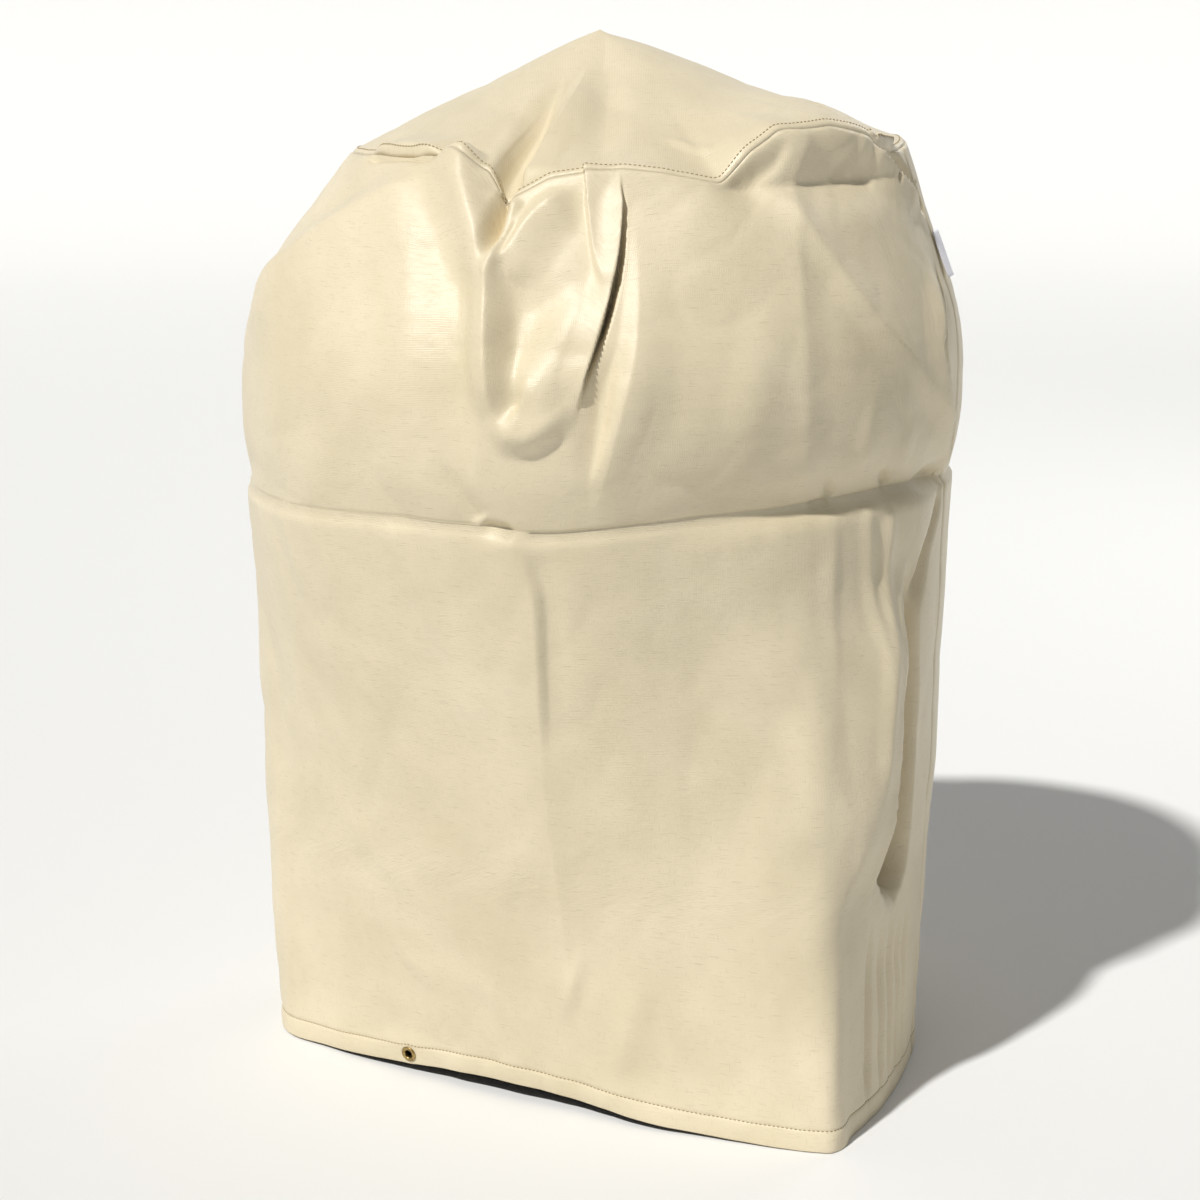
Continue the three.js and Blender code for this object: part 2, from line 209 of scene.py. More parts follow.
def on_wall(azimuth, height):
    radius = wall_radius(azimuth, height)
    angle = np.radians(azimuth)
    return np.stack(np.broadcast_arrays(
        AXIS[0] + radius * np.cos(angle), AXIS[1] + radius * np.sin(angle), height), -1)


def on_crown(azimuth, share):
    """A point of the top panel, from the peak at share 0 to the top seam at share 1. The dips of the
    seam die out towards the peak."""
    near_seam = on_wall(azimuth, rim_height(azimuth))
    even = on_wall(azimuth, even_rim_height(azimuth))
    share = np.broadcast_to(np.asarray(share, float), np.shape(azimuth))
    keep = smooth((share - 0.45) / 0.55)[..., None]
    rim = even * (1 - keep) + near_seam * keep
    return np.array(PEAK) + (rim - np.array(PEAK)) * share[..., None]


def on_cover(azimuth, height):
    """The cloth's point at an azimuth and a height, on the wall or on the top panel."""
    azimuth, height = np.asarray(azimuth, float), np.asarray(height, float)
    rim = rim_height(azimuth)
    share = np.clip((PEAK.z - height) / (PEAK.z - rim), 0, 1)
    on_top = (height > rim)[..., None]
    return np.where(on_top, on_crown(azimuth, share), on_wall(azimuth, np.minimum(height, rim)))


# ---- Mesh rows and columns ----
RECORD = frame["record"]
HOLE_HALF = 2.2 * MM  # half a mesh face, which opens into a grommet's hole


def ring_sizes(name, centre, axis):
    """A CAD ring's reach along its axis, inward and outward, and its smallest and largest radius."""
    offset = np.array([v.co for v in frame["nodes"][name].data.vertices]) - np.array(centre)
    along = offset @ np.array(axis)
    radii = np.linalg.norm(offset - np.outer(along, np.array(axis)), axis=1)
    return along.min(), along.max(), radii.min(), radii.max()


class Grommet:
    """Where a grommet sits, from its CAD node and its mount."""

    def __init__(self, place):
        self.node = "grommet_" + place
        self.washer = "washer_" + place
        mount = next(m for m in RECORD["mounts"] if m["name"] == "tie_down_" + place)
        self.axis = Vector(mount["axis"]).normalized()
        middle = np.array([v.co for v in frame["nodes"][self.node].data.vertices]).mean(0)
        self.centre = Vector(middle)
        self.inside, self.outside, self.throat, self.flange = ring_sizes(self.node, middle, self.axis)
        x, y = self.centre.x - AXIS[0], self.centre.y - AXIS[1]
        self.azimuth = math.degrees(math.atan2(y, x))
        self.half_angle = math.degrees(HOLE_HALF / math.hypot(x, y))


GROMMETS = [Grommet("front_left"), Grommet("back_right")]


def column_azimuths():
    columns = []
    for start, end, count in COLUMN_BANDS:
        columns += list(np.linspace(start, end, count, endpoint=False))
    columns = np.array(columns + [COLUMN_BANDS[-1][1]])
    for grommet in GROMMETS:
        low, high = grommet.azimuth - grommet.half_angle, grommet.azimuth + grommet.half_angle
        clear = grommet.half_angle * 1.3
        columns = columns[(columns < low - clear) | (columns > high + clear)]
        columns = np.sort(np.append(columns, [low, high]))
    return columns


AZIMUTHS = column_azimuths()
SEAM_COLUMN = int(np.argmin(np.abs(AZIMUTHS - RIGHT_SEAM)))
GROMMET_UP = GROMMETS[0].centre.z - hem_height(GROMMETS[0].azimuth)
HEM_ROWS = np.array([3.2 * MM, 6.4 * MM, GROMMET_UP - HOLE_HALF, GROMMET_UP + HOLE_HALF, 17.6 * MM,
                     20.2 * MM, 21.4 * MM, HEM_STITCH, 22.6 * MM, 24 * MM, 27 * MM, 33 * MM])
FOLD = CLOTH + LAYER_GAP / 2  # radius of the outer face round the hem's folded edge


def wall_rows():
    """Rows of the wall from the turned-up layer's top, round the folded edge and up to the top seam:
    for each the height above the edge, or the share from the last hem row to the crease, or from the
    crease to the seam, and the distance in from the rest surface."""
    rows = [("edge", h, 2 * FOLD) for h in HEM_ROWS[HEM_ROWS < HEM_TURN_UP][::-1]]
    for angle in np.radians([180, 225, 270, 315, 360]):
        rows.append(("edge", FOLD * (1 + math.sin(angle)), FOLD * (1 - math.cos(angle))))
    rows += [("edge", h, 0.0) for h in HEM_ROWS]
    rows += [("skirt", share, 0.0) for share in graded(SKIRT_ROWS, 0.0, 0.35)]
    rows += [("shoulder", share, 0.0) for share in graded(SHOULDER_ROWS, 0.35, 0.2)]
    return rows


def graded(count, at_start, at_end):
    """Shares from 0, left out, to 1, closer together at an end by up to the amounts given."""
    t = np.linspace(0, 1, count + 1)
    eased = t + at_start * (t * (1 - t) ** 2) * -1 + at_end * (t**2 * (1 - t))
    return eased[1:]


WALL_ROWS = wall_rows()
FIRST_OUTER = next(i for i, row in enumerate(WALL_ROWS) if row[2] < CLOTH and row[0] == "edge")


def wall_grid():
    """Points of the wall's grid. Its rows inside the hem are set in later, by settle_hem."""
    edge = hem_height(AZIMUTHS)
    crease, rim = crease_height(AZIMUTHS), rim_height(AZIMUTHS)
    top_hem = edge + HEM_ROWS[-1]
    spans = {"edge": (edge, 1), "skirt": (top_hem, crease - top_hem), "shoulder": (crease, rim - crease)}
    heights = np.array([spans[kind][0] + spans[kind][1] * value for kind, value, _ in WALL_ROWS])
    return on_wall(np.broadcast_to(AZIMUTHS, heights.shape), heights)


def grid_normals(grid):
    """Outward unit normals of a grid of points, rows rising and columns turning with the azimuth."""
    return unit(np.cross(np.gradient(grid, axis=1), np.gradient(grid, axis=0)))


WALL_BASE = wall_grid()
CROWN_SHARES = 1 - graded(CROWN_ROWS, 0.3, 0.0)
CROWN_BASE = np.array([on_crown(AZIMUTHS, np.full(len(AZIMUTHS), s)) for s in CROWN_SHARES])
CROWN_BASE = np.concatenate([WALL_BASE[-1:], CROWN_BASE])


def close_ends(normal):
    """The first and last column are the same line of cloth, so they share a normal."""
    normal[:, 0] = normal[:, -1] = unit(normal[:, 0] + normal[:, -1])
    return normal


def shared_normals():
    """Normals of the two grids. They agree along the top seam, and turn from one to the other near it."""
    hem_rows = len([row for row in WALL_ROWS if row[0] == "edge"])
    wall = grid_normals(WALL_BASE)
    wall[:hem_rows] = wall[hem_rows]
    crown = grid_normals(CROWN_BASE)
    crown[-1] = (0, 0, 1)
    seam = unit(wall[-1] + crown[1])
    for k, share in enumerate((1.0, 0.75, 0.5, 0.25)):
        wall[-1 - k] = wall[-1 - k] * (1 - share) + seam * share
        crown[k] = crown[k] * (1 - share) + seam * share
    return unit(close_ends(wall)), unit(close_ends(crown))


WALL_NORMAL, CROWN_NORMAL = shared_normals()
WALL_SIZE = len(WALL_ROWS) * len(AZIMUTHS)  # the wall's share of all the points, which come first
POINTS = np.concatenate([WALL_BASE.reshape(-1, 3), CROWN_BASE.reshape(-1, 3)])
NORMALS = np.concatenate([WALL_NORMAL.reshape(-1, 3), CROWN_NORMAL.reshape(-1, 3)])
OUT = np.zeros(len(POINTS))  # how far each point moves out along its normal
SIDE = np.zeros((len(POINTS), 3))  # and how far along the cloth
POINT_AZIMUTH = np.degrees(np.arctan2(POINTS[:, 1] - AXIS[1], POINTS[:, 0] - AXIS[0]))
POINT_AZIMUTH = np.where(POINT_AZIMUTH > 165.001, POINT_AZIMUTH - 360, POINT_AZIMUTH)


# ---- Folds ----
def through(points, step=4 * MM):
    """A smooth line through the points of a path, a few millimetres apart."""
    points = np.asarray(points, float)
    ends = [2 * points[0] - points[1], *points, 2 * points[-1] - points[-2]]
    line = []
    for a, b, c, d in zip(ends, ends[1:], ends[2:], ends[3:]):
        count = max(2, int(np.linalg.norm(c - b) / step))
        for t in np.arange(count) / count:
            weights = cubic_weights(t)
            line.append(sum(w * p for w, p in zip(weights, (a, b, c, d))))
    return np.array(line + [points[-1]])


TIP_WIDTH = 0.3  # how narrow a fold is at its tips, as a share of its full width


def profile(share, sharp):
    """A fold's height at a share of the way from its top line to its edge."""
    return (1 - sharp) * (1 + np.cos(math.pi * share)) / 2 + sharp * (1 - share) ** 2


def fold(path, height, left, right, sharp, fade_in, fade_out, lean=0):
    """A ridge, or a valley where height is below 0, along a path of (azimuth, height) points. Its own
    sizes are in millimetres. Left and right are its reach on each side of someone who walks the path on
    the outside. Sharp 1 is a crisp edge, 0 a round one, and below 0 a full one with steep sides. It
    fades in and out over those shares of its length. Lean slides its top to the right."""
    global OUT, SIDE
    azimuth, level = np.array(path, float).T
    line = through(on_cover(azimuth, level))
    reach = max(left, right) * MM
    near = np.where(((POINTS > line.min(0) - reach) & (POINTS < line.max(0) + reach)).all(1))[0]
    if not len(near):
        return
    spots = POINTS[near]
    start, run = line[:-1], np.diff(line, axis=0)
    length = np.linalg.norm(run, axis=1)
    travelled = travel(line)
    best = np.full(len(near), 1e9)
    away = np.zeros((len(near), 3))
    heading = np.zeros((len(near), 3))
    along = np.zeros(len(near))
    for k in range(len(start)):
        offset = spots - start[k]
        t = np.clip(offset @ run[k] / length[k] ** 2, 0, 1)
        gap = offset - t[:, None] * run[k]
        distance = np.einsum("ij,ij->i", gap, gap)
        closer = distance < best
        best[closer] = distance[closer]
        away[closer] = gap[closer]
        heading[closer] = run[k] / length[k]
        along[closer] = (travelled[k] + t[closer] * length[k]) / travelled[-1]
    rightward = np.cross(heading, NORMALS[near])
    side = np.einsum("ij,ij->i", away, rightward)
    fade = smooth(along / max(fade_in, 1e-6)) * smooth((1 - along) / max(fade_out, 1e-6))
    width = np.where(side > 0, right * MM, left * MM) * (TIP_WIDTH + (1 - TIP_WIDTH) * np.sqrt(fade))
    amount = profile(np.minimum(1, np.sqrt(best) / width), sharp) * fade
    OUT[near] += height * MM * amount
    SIDE[near] += rightward * (lean * MM * amount)[:, None]


# How strong the level packing crease is, by azimuth
CREASE_STRENGTH = [(-195, .6), (-120, .8), (-90, .8), (-62, 1), (-45, 1.6), (-20, 1.8), (-15, .8), (80, .5)]


def level_crease(depth, above, below, sharp):
    """A valley that runs right round along the packing crease. Its sizes are in millimetres."""
    global OUT
    offset = POINTS[:, 2] - crease_height(POINT_AZIMUTH)
    share = np.minimum(1, np.abs(offset) / np.where(offset > 0, above * MM, below * MM))
    azimuth, strength = np.array(CREASE_STRENGTH).T
    strength = np.interp(POINT_AZIMUTH, azimuth, strength, period=360)
    OUT -= depth * MM * profile(share, sharp) * strength


def swelling(azimuth, level, across, up, height):
    """A soft swelling round one point of the cover. Its own sizes are in millimetres."""
    global OUT
    offset = POINTS - on_cover(np.array(azimuth), np.array(level))
    size = np.hypot(np.hypot(offset[:, 0], offset[:, 1]) / (across * MM), offset[:, 2] / (up * MM))
    OUT += height * MM * profile(np.minimum(1, size), 0)


# The folds, one by one: each has its path, and then the other numbers that fold takes, in its order
PACKING_CREASES = [
    ([(-84, .608), (-70, .612), (-50, .618), (-34, .622), (-18, .618)], 7, 12, 110, .3, .35, .2),
    # The upright crease of the skirt, deepest where it leaves the level one
    ([(-88.6, .03), (-94.8, .1325), (-97.6, .215), (-99.8, .326), (-100.6, .42)],
     5, 70, 50, .9, .35, .05),
    ([(-100.6, .4), (-100.6, .5), (-100.9, .565), (-103.3, .6), (-104.6, .622)],
     5.5, 60, 26, .85, .1, .03),
    ([(-99, .4), (-98.8, .5), (-99, .565), (-101.8, .605)], -3, 9, 26, .5, .4, .1),
    # A second upright crease down the shoulder and faintly down the skirt
    ([(-55, .637), (-58.2, .76), (-57.2, .85), (-54.9, .919), (-50, .978)], 4.5, 56, 34, .85, .1, .03),
    # Where the creases cross, the cloth kinks
    ([(-109.5, .626), (-106, .624), (-103, .621)], -5, 10, 4, .5, .3, .3),
    ([(-48.8, .634), (-50.2, .648), (-51.3, .664)], -6, 5, 13, .4, .1, .6),
    ([(-53.5, .632), (-51, .634), (-48.6, .635)], -4, 5, 4, .4, .3, .2),
    ([(-35.2, .636), (-37.5, .648), (-39.4, .662)], -6, 6, 13, .4, .1, .6),
    ([(-29, .632), (-22, .634), (-15, .632)], -7, 26, 5, .4, .4, .2),
]
FRONT_GATHERS = [
    # The notch: a valley between two ridges that meet below it
    ([(-107.4, .82), (-108.2, .856), (-110.6, .885), (-113.4, .9125), (-117.5, .945), (-119.5, .965)],
     19, 50, 24, .15, .45, .12),
    ([(-108.2, .852), (-108, .88), (-107.6, .905), (-107.3, .93)], -20, 15, 9, .25, .55, .05),
    ([(-108, .855), (-107.1, .873), (-105.9, .896), (-104.9, .922)], 7, 14, 13, .3, .25, .1),
    ([(-106.5, .8645), (-106, .873), (-104.6, .893), (-103.4, .906)], -4, 5, 5, .4, .25, .3),
    ([(-107.3, .83), (-107.5, .853), (-106.9, .862), (-104.6, .877), (-102.3, .9), (-98.9, .9177),
      (-93.5, .934)], 13, 16, 44, .4, .4, .25),
    # The ridge below them, which turns along the foot of a slack bulge
    ([(-102.5, .7164), (-104.8, .7268), (-105.8, .745), (-106.5, .779), (-107, .813), (-107.9, .85),
      (-109.6, .88)], 16, 28, 26, .55, .35, .4),
    ([(-106.2, .738), (-104.6, .724), (-102.3, .716), (-99.8, .719), (-95.9, .737), (-93.5, .757)],
     13, 60, 26, .3, .3, .4),
    ([(-101.6, .752), (-102, .79), (-101.8, .83), (-100, .868)], -10, 34, 84, 0, .35, .4),
    ([(-101.2, .737), (-98.4, .7665), (-94.9, .81), (-91.6, .85)], 9, 40, 34, .1, .25, .35),
    # The pleat: a flap whose edge hangs over a dark slit
    ([(-93.4, .735), (-92.8, .7636), (-91.6, .7873), (-90.1, .815), (-88.9, .841), (-87.6, .871),
      (-86.8, .905), (-86.3, .945)], 9, 22, 3, .6, .15, .15, 3.5),
    ([(-92.9, .739), (-92.3, .7636), (-91.1, .7873), (-89.5, .815), (-88.2, .841), (-86.9, .871),
      (-86.2, .905), (-85.7, .94)], -24, 3, 6.5, .3, .5, .6),
    ([(-89.4, .842), (-91, .874), (-92.1, .915), (-92.9, .95)], 6, 3, 30, .8, .15, .03),
    ([(-91, .63), (-89.7, .667), (-88.3, .7035), (-86.7, .7465), (-85.2, .781), (-84.1, .831),
      (-83.7, .915)], 12, 22, 56, .35, .45, .7),
    ([(-92.5, .66), (-90.2, .71), (-88.9, .755), (-87.7, .8)], -7, 30, 9, .1, .5, .45),
    # A long shallow hollow to the left of the gathers
    ([(-110, .66), (-111.4, .74), (-113, .83), (-116.5, .9), (-119.5, .94)],
     -11, 56, 26, .1, .3, .35),
    ([(-109, .628), (-112, .66), (-115.5, .7)], -4, 12, 20, .3, .1, .5),
]
SHOULDER_CREASES = [
    ([(-172, .785), (-163, .83), (-147, .883), (-135, .915), (-121.4, .95)], 15, 48, 120, .55, .3, .2),
    ([(-18, .675), (-24.2, .705), (-42.9, .802), (-50.6, .862), (-57.3, .921), (-64, .95)],
     8, 26, 60, .85, .2, .1),
    ([(-66, .66), (-67, .72), (-65, .79), (-63, .86)], 5, 40, 50, .1, .4, .5),
    ([(-43, .65), (-45, .7), (-44.5, .745)], 2.5, 20, 20, .1, .3, .5),
    ([(-33, .645), (-34, .68), (-33.5, .715)], 2, 18, 18, .1, .3, .5),
    # The level band under the seam at the right stands upright, then the wall breaks outward
    ([(-70, .94), (-62, .966), (-50, .98), (-38, .972), (-28, .958)], 9, 70, 34, .1, .2, .2),
    ([(-72, .932), (-62, .934), (-55, .934), (-38, .935), (-24, .933)], -13, 32, 46, .8, .2, .3),
    ([(-63, .937), (-58, .95), (-54.5, .972)], -4, 22, 10, .4, .2, .2),
    ([(-45, .937), (-42, .95), (-37, .968)], -3, 14, 18, .4, .2, .2),
]
CROWN_FOLDS = [
    ([(-104.6, .932), (-103.3, .9555), (-100.9, .9965), (-97.9, 1.04)], 9, 14, 44, .5, .08, .4),
    ([(-107, .924), (-107.5, .945), (-108, .979), (-114, 1.03)], -15, 30, 12, .25, .05, .5),
    ([(-90.4, .95), (-88.2, .997), (-82.5, 1.04)], -4, 26, 30, .2, .2, .4),
    ([(-152, .9535), (-142, .9575), (-132, .959), (-124, .958)], 8, 46, 4, .4, .25, .2),
    ([(-154, .948), (-142, .9522), (-132, .9535), (-123, .952)], -14, 4.5, 6, .3, .2, .3),
    ([(-66, .96), (-72, .968), (-77, .972)], 4, 14, 10, .5, .2, .4),
    # The gathered corner at the right end of the top seam
    ([(-32.5, .962), (-31.5, .972), (-30, .99)], -10, 7, 14, .2, .05, .8),
    ([(-35, .966), (-30, .961), (-24, .96), (-17, .962)], 10, 20, 4, .4, .15, .25),
    ([(-25, .962), (-24.5, .972), (-23, .985)], -8, 7, 12, .2, .05, .8),
]
RIGHT_SIDE = [
    # The front wall's right corner folds over a pocket under the top seam
    ([(-34.5, .96), (-26.4, .9413), (-20.8, .9185), (-18.6, .9033), (-17.5, .885)],
     9, 5, 44, .5, .15, .35),
    ([(-29, .952), (-24, .9405), (-19.5, .9245), (-17, .9085), (-15.5, .893)],
     -36, 20, 10, -.3, .3, .2),
    ([(-26.8, .925), (-26, .938)], -5, 4, 4, .3, .4, .2),
    # Its edge stands in front of the side seam, down to the level crease
    ([(-14.5, .632), (-21, .6835), (-27, .7585), (-26, .7859), (-22.8, .8307), (-20, .86)],
     9, 40, 6, .5, .1, .3),
    ([(-11.5, .632), (-17.8, .6835), (-24, .7585), (-23.2, .7859), (-19.7, .8307), (-17.5, .86)],
     -20, 9, 13, .3, .2, .4),
    # Below it the skirt is pushed in between two legs
    ([(-42.5, .215), (-41, .262), (-39.2, .32), (-38, .375), (-37, .43), (-34, .5), (-30, .56)],
     17, 125, 8, .45, .3, .3, 12),
    ([(-33.6, .215), (-32.6, .28), (-31.6, .33), (-31, .39), (-30.4, .45), (-28.6, .57)],
     -84, 44, 40, -.9, .14, .55),
    ([(-27.6, .5), (-24.5, .56), (-20, .6), (-16, .628)], -12, 12, 16, .2, .3, .3),
    # Soft upright pleats where the crease pulls the skirt in
    ([(-50.5, .44), (-49.6, .54), (-49.8, .63)], 2.5, 22, 16, .3, .6, .1),
    ([(-41, .42), (-40.4, .52), (-42, .632)], 3.5, 18, 14, .4, .6, .1),
    ([(-43.5, .3), (-41, .42), (-37, .53), (-36, .632)], 4, 20, 16, .4, .5, .08),
    ([(-60, .16), (-50, .25), (-43, .36), (-39, .48), (-37.5, .58)], 6, 60, 34, .2, .4, .4),
]
# Faint dents and slanting creases left from when the cover was folded small
SKIRT_WRINKLES = [
    ([(-60, .46), (-52, .37), (-48, .3), (-46, .22)], 3.5, 60, 50, .6, .3, .4),
    ([(-72, .26), (-64, .36), (-58, .44), (-52, .52)], -3, 60, 60, .4, .3, .3),
    ([(-145, .16), (-138, .13), (-130, .115)], 3, 20, 14, .6, .3, .4),
    ([(-128, .14), (-120, .125), (-112, .09)], 3, 16, 22, .5, .3, .4),
    ([(-100, .1), (-96, .145), (-93, .2)], 2.5, 16, 16, .6, .3, .4),
    ([(-150, .3), (-142, .24), (-134, .19)], 3, 50, 40, .3, .3, .4),
    ([(-125, .62), (-121.5, .56), (-119, .48)], 3, 40, 26, .5, .05, .6),
    ([(-152, .62), (-149, .56), (-147, .5)], 2.5, 34, 24, .4, .05, .6),
    ([(-86, .05), (-84, .11), (-80, .17)], 3, 34, 26, .3, .2, .5),
    # The hem's right front corner is folded to an edge
    ([(-54.6, -.01), (-54.4, .06), (-53, .13), (-51, .22)], 8, 60, 50, .9, 0, .8),
    # The back, which is not gathered up, hangs in long soft folds
    ([(20, .52), (45, .42), (72, .36), (95, .37)], 6, 70, 40, .4, .35, .35),
    ([(150, .55), (128, .44), (104, .3), (90, .2)], 6, 60, 44, .4, .35, .35),
]


def lay_repeated_folds():
    # The foot of the skirt is gathered between two legs
    for azimuth, lean in ((-42, 1), (-37, .5), (-33, 0), (-29, -.5), (-25, -1)):
        fold([(azimuth - lean, .004), (azimuth, .11), (azimuth + lean, .215)], -5, 9, 12, 0.3, 0.25, 0.3)
    # The back, which isn't snagged anywhere, hangs in long soft folds
    for azimuth, size, lean in ((8, 5, 2), (31, 9, -3), (58, 7, 3), (83, 10, -2), (109, 8, 3), (137, 9, -2)):
        fold([(azimuth - lean, .03), (azimuth, .18), (azimuth + lean, .38), (azimuth, .60)],
             size, 64, 48, 0.5, 0.35, 0.15)
        fold([(azimuth + 9, .625), (azimuth + 5, .74), (azimuth + 8, .86), (azimuth + 12, .950)],
             size, 44, 30, 0.35, 0.3, 0.1)
    for azimuth, size in ((-4, 7), (22, 10), (44, 7), (68, 9), (96, 7), (121, 11), (150, 7)):
        fold([(azimuth, .76), (azimuth - 2, .86), (azimuth + 1, .955)], -size, 14, 26, 0.2, 0.5, 0.03)


def add_undulations():
    """Slow swells left by handling, finer ones between the folds and faint creases, by seeded noise."""
    global OUT
    waves = ((4.2, 3.4, 11.0), (11.0, 1.8, 47.0), (26.0, 0.6, 83.0))
    creases = ((5.5, -1.8, 29.0), (13.0, -0.8, 61.0))
    total = np.zeros(len(POINTS))
    for frequency, size, shift in waves:
        total += size * np.array([noise.noise(Vector(spot)) for spot in POINTS * frequency + shift])
    for frequency, size, shift in creases:
        ridges = np.abs([noise.noise(Vector(spot)) for spot in POINTS * frequency + shift])
        total += size * (1 - np.minimum(1, ridges / 0.35)) ** 2
    OUT += total * MM


def calm_near(points, radius, keep):
    """Folds are left out within a radius of a grommet, whose flange holds the hem flat, and are kept
    from a larger one on."""
    global OUT, SIDE
    for centre in points:
        distance = np.linalg.norm(POINTS - np.array(centre), axis=1)
        share = smooth((distance - radius) / (keep - radius))
        OUT *= share
        SIDE *= share[:, None]


level_crease(depth=7, above=60, below=10, sharp=0.7)
level_crease(depth=2, above=3.4, below=4, sharp=0.6)
swelling(azimuth=-30, level=.985, across=130, up=50, height=15)
for folds in (PACKING_CREASES, FRONT_GATHERS, SHOULDER_CREASES, CROWN_FOLDS, RIGHT_SIDE, SKIRT_WRINKLES):
    for numbers in folds:
        fold(*numbers)
lay_repeated_folds()
add_undulations()


def hem_puff():
    """The double cloth of the hem stands a little proud between its edge and its stitching, which
    puckers it."""
    global OUT
    columns = len(AZIMUTHS)
    run = travel(WALL_BASE[FIRST_OUTER])
    for i in range(FIRST_OUTER + len(HEM_ROWS) + 5):
        rise = np.mean(WALL_BASE[i, :, 2] - hem_height(AZIMUTHS))
        swell = 0.9 * MM * math.sin(math.pi * min(1, max(0, rise / HEM_STITCH))) ** 0.8
        groove = -0.7 * MM * math.exp(-((rise - HEM_STITCH) / (1.1 * MM)) ** 2)
        pucker = 0.55 * MM * np.sin(run / (9.5 * MM) + 1.7 * np.sin(run / (61 * MM)))
        pucker = pucker * math.exp(-((rise - HEM_STITCH) / (9 * MM)) ** 2)
        OUT[i * columns:(i + 1) * columns] += swell + groove + pucker


def seam_tucks():
    """The cloth dips to each side seam and to the top seam."""
    global OUT
    from_axis = np.hypot(POINTS[:, 0] - AXIS[0], POINTS[:, 1] - AXIS[1])
    below = POINTS[:, 2] < rim_height(POINT_AZIMUTH) + 0.1 * MM
    for seam in (RIGHT_SEAM, LEFT_SEAM):
        distance = np.radians(np.abs(turn_between(POINT_AZIMUTH, seam))) * from_axis
        OUT -= np.where(below, SEAM_TUCK * (1 - smooth(distance / SEAM_HALF)), 0)
    crown = np.arange(len(POINTS)) >= WALL_SIZE
    distance = np.linalg.norm(POINTS.reshape(-1, len(AZIMUTHS), 3) - WALL_BASE[-1], axis=2).reshape(-1)
    OUT -= SEAM_TUCK * (1 - smooth(distance / np.where(crown, 2.6 * MM, 3.4 * MM)))
    # The top panel's edge rolls out a little over the wall before it turns in
    OUT += np.where(crown, 0.5 * MM * np.exp(-((distance - 6 * MM) / (4 * MM)) ** 2), 0)


hem_puff()
calm_near([g.centre for g in GROMMETS], radius=13 * MM, keep=40 * MM)
seam_tucks()
MOVED = POINTS + NORMALS * OUT[:, None] + SIDE
WALL, CROWN = np.split(MOVED.reshape(-1, len(AZIMUTHS), 3), [len(WALL_ROWS)])


def settle_hem(wall):
    """The turned-up layer and the fold lie inside the outer face, on the moved cloth's own normals."""
    first = close_ends(grid_normals(wall[FIRST_OUTER:]))[0]
    outer_rows = [i for i in range(FIRST_OUTER, len(WALL_ROWS)) if WALL_ROWS[i][0] == "edge"]
    for i, (_, value, inset) in enumerate(WALL_ROWS[:FIRST_OUTER]):
        level = min(outer_rows, key=lambda row: abs(WALL_ROWS[row][1] - value))
        wall[i] = wall[level if inset > FOLD else FIRST_OUTER] - first * inset
        wall[i, :, 2] = hem_height(AZIMUTHS) + value


def open_holes(wall):
    """Mesh points near a grommet move outward from its axis, so that one face becomes its hole."""
    hole, reach = 5.6 * MM, 13 * MM
    for grommet in GROMMETS:
        axis = np.array(grommet.axis)
        offset = wall - np.array(grommet.centre)
        along = offset @ axis
        across = offset - along[..., None] * axis
        distance = np.linalg.norm(across, axis=2)
        near = (distance < reach) & (np.abs(along) < 30 * MM)
        grown = hole + distance * (reach - hole) / reach
        wall[near] += (across * (grown / np.maximum(distance, 1e-9) - 1)[..., None])[near]


settle_hem(WALL)
open_holes(WALL)


# ---- Meshes ----
def mesh_object(name, vertices, faces, materials, indices=None, cloth=None):
    mesh = bpy.data.meshes.new(name)
    mesh.from_pydata([tuple(v) for v in vertices], [], faces)
    for material in materials:
        mesh.materials.append(material)
    if indices is not None:
        mesh.polygons.foreach_set("material_index", np.asarray(indices, np.int32))
    mesh.polygons.foreach_set("use_smooth", np.ones(len(mesh.polygons), bool))
    if cloth is not None:
        layer = mesh.attributes.new("cloth", "FLOAT_VECTOR", "POINT")
        layer.data.foreach_set("vector", np.asarray(cloth, np.float32).ravel())
    mesh.update()
    mesh.validate()
    piece = bpy.data.objects.new(name, mesh)
    bpy.context.scene.collection.objects.link(piece)
    return piece


def cloth_lengths(grid):
    """Distance across and up the cloth of each grid point, which the weave is laid out by."""
    across = np.zeros(grid.shape[:2])
    across[:, 1:] = np.cumsum(np.linalg.norm(np.diff(grid, axis=1), axis=2), axis=1)
    across -= across.mean(1, keepdims=True)
    up = np.zeros(grid.shape[:2])
    up[1:] = np.cumsum(np.linalg.norm(np.diff(grid, axis=0), axis=2), axis=0)
    return np.stack([across, up, np.zeros_like(up)], -1)


